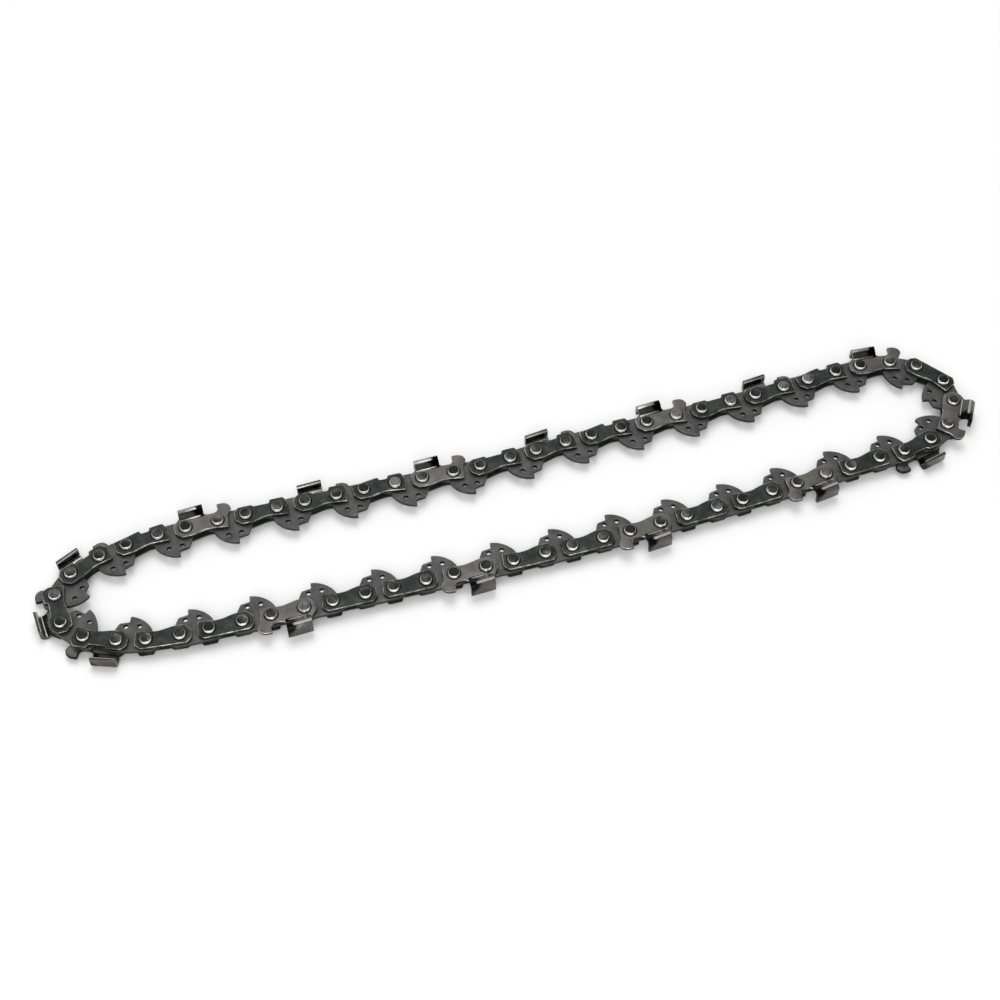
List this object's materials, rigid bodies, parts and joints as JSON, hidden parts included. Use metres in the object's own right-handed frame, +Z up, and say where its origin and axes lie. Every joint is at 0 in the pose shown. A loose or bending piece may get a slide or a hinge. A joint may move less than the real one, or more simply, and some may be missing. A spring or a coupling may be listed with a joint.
{
  "type": "chainsaw chain",
  "caption": "Closed loop of low-profile saw chain lying flat: drive links with tangs, riveted tie straps, and right- and left-hand cutters with depth gauges.",
  "frame": {"origin": "middle of the loop's box in plan, on the surface that the loop lies on", "axes": "+X along the loop, +Y across it, +Z up, square to the plane of the loop; seen from above the chain runs clockwise"},
  "size_m": [0.3016, 0.055, 0.0061],
  "materials": {
    "drive_link": "blackened, satin",
    "strap": "blackened, satin",
    "cutter": "blackened, satin, with bright-plated cutting plates"
  },
  "bodies": {
    "root": {"drive_link_01": "drive_link", "drive_link_02": "drive_link", "drive_link_03": "drive_link", "drive_link_04": "drive_link", "drive_link_05": "drive_link", "drive_link_06": "drive_link", "drive_link_07": "drive_link", "drive_link_08": "drive_link", "drive_link_09": "drive_link", "drive_link_10": "drive_link", "drive_link_11": "drive_link", "drive_link_12": "drive_link", "drive_link_13": "drive_link", "drive_link_14": "drive_link", "drive_link_15": "drive_link", "drive_link_16": "drive_link", "drive_link_17": "drive_link", "drive_link_18": "drive_link", "drive_link_19": "drive_link", "drive_link_20": "drive_link", "drive_link_21": "drive_link", "drive_link_22": "drive_link", "drive_link_23": "drive_link", "drive_link_24": "drive_link", "drive_link_25": "drive_link", "drive_link_26": "drive_link", "drive_link_27": "drive_link", "drive_link_28": "drive_link", "drive_link_29": "drive_link", "drive_link_30": "drive_link", "drive_link_31": "drive_link", "drive_link_32": "drive_link", "drive_link_33": "drive_link", "left_cutter_02": "cutter", "left_cutter_16": "cutter", "left_cutter_17": "cutter", "left_cutter_18": "cutter", "left_cutter_22": "cutter", "left_cutter_26": "cutter", "left_cutter_30": "cutter", "notched_strap_links": "strap", "ramped_strap_links": "strap", "right_cutter_01": "cutter", "right_cutter_04": "cutter", "right_cutter_07": "cutter", "right_cutter_10": "cutter", "right_cutter_13": "cutter", "right_cutter_20": "cutter", "right_cutter_24": "cutter", "right_cutter_28": "cutter", "right_cutter_32": "cutter", "straight_strap_links": "strap"}
  },
  "joints": []
}
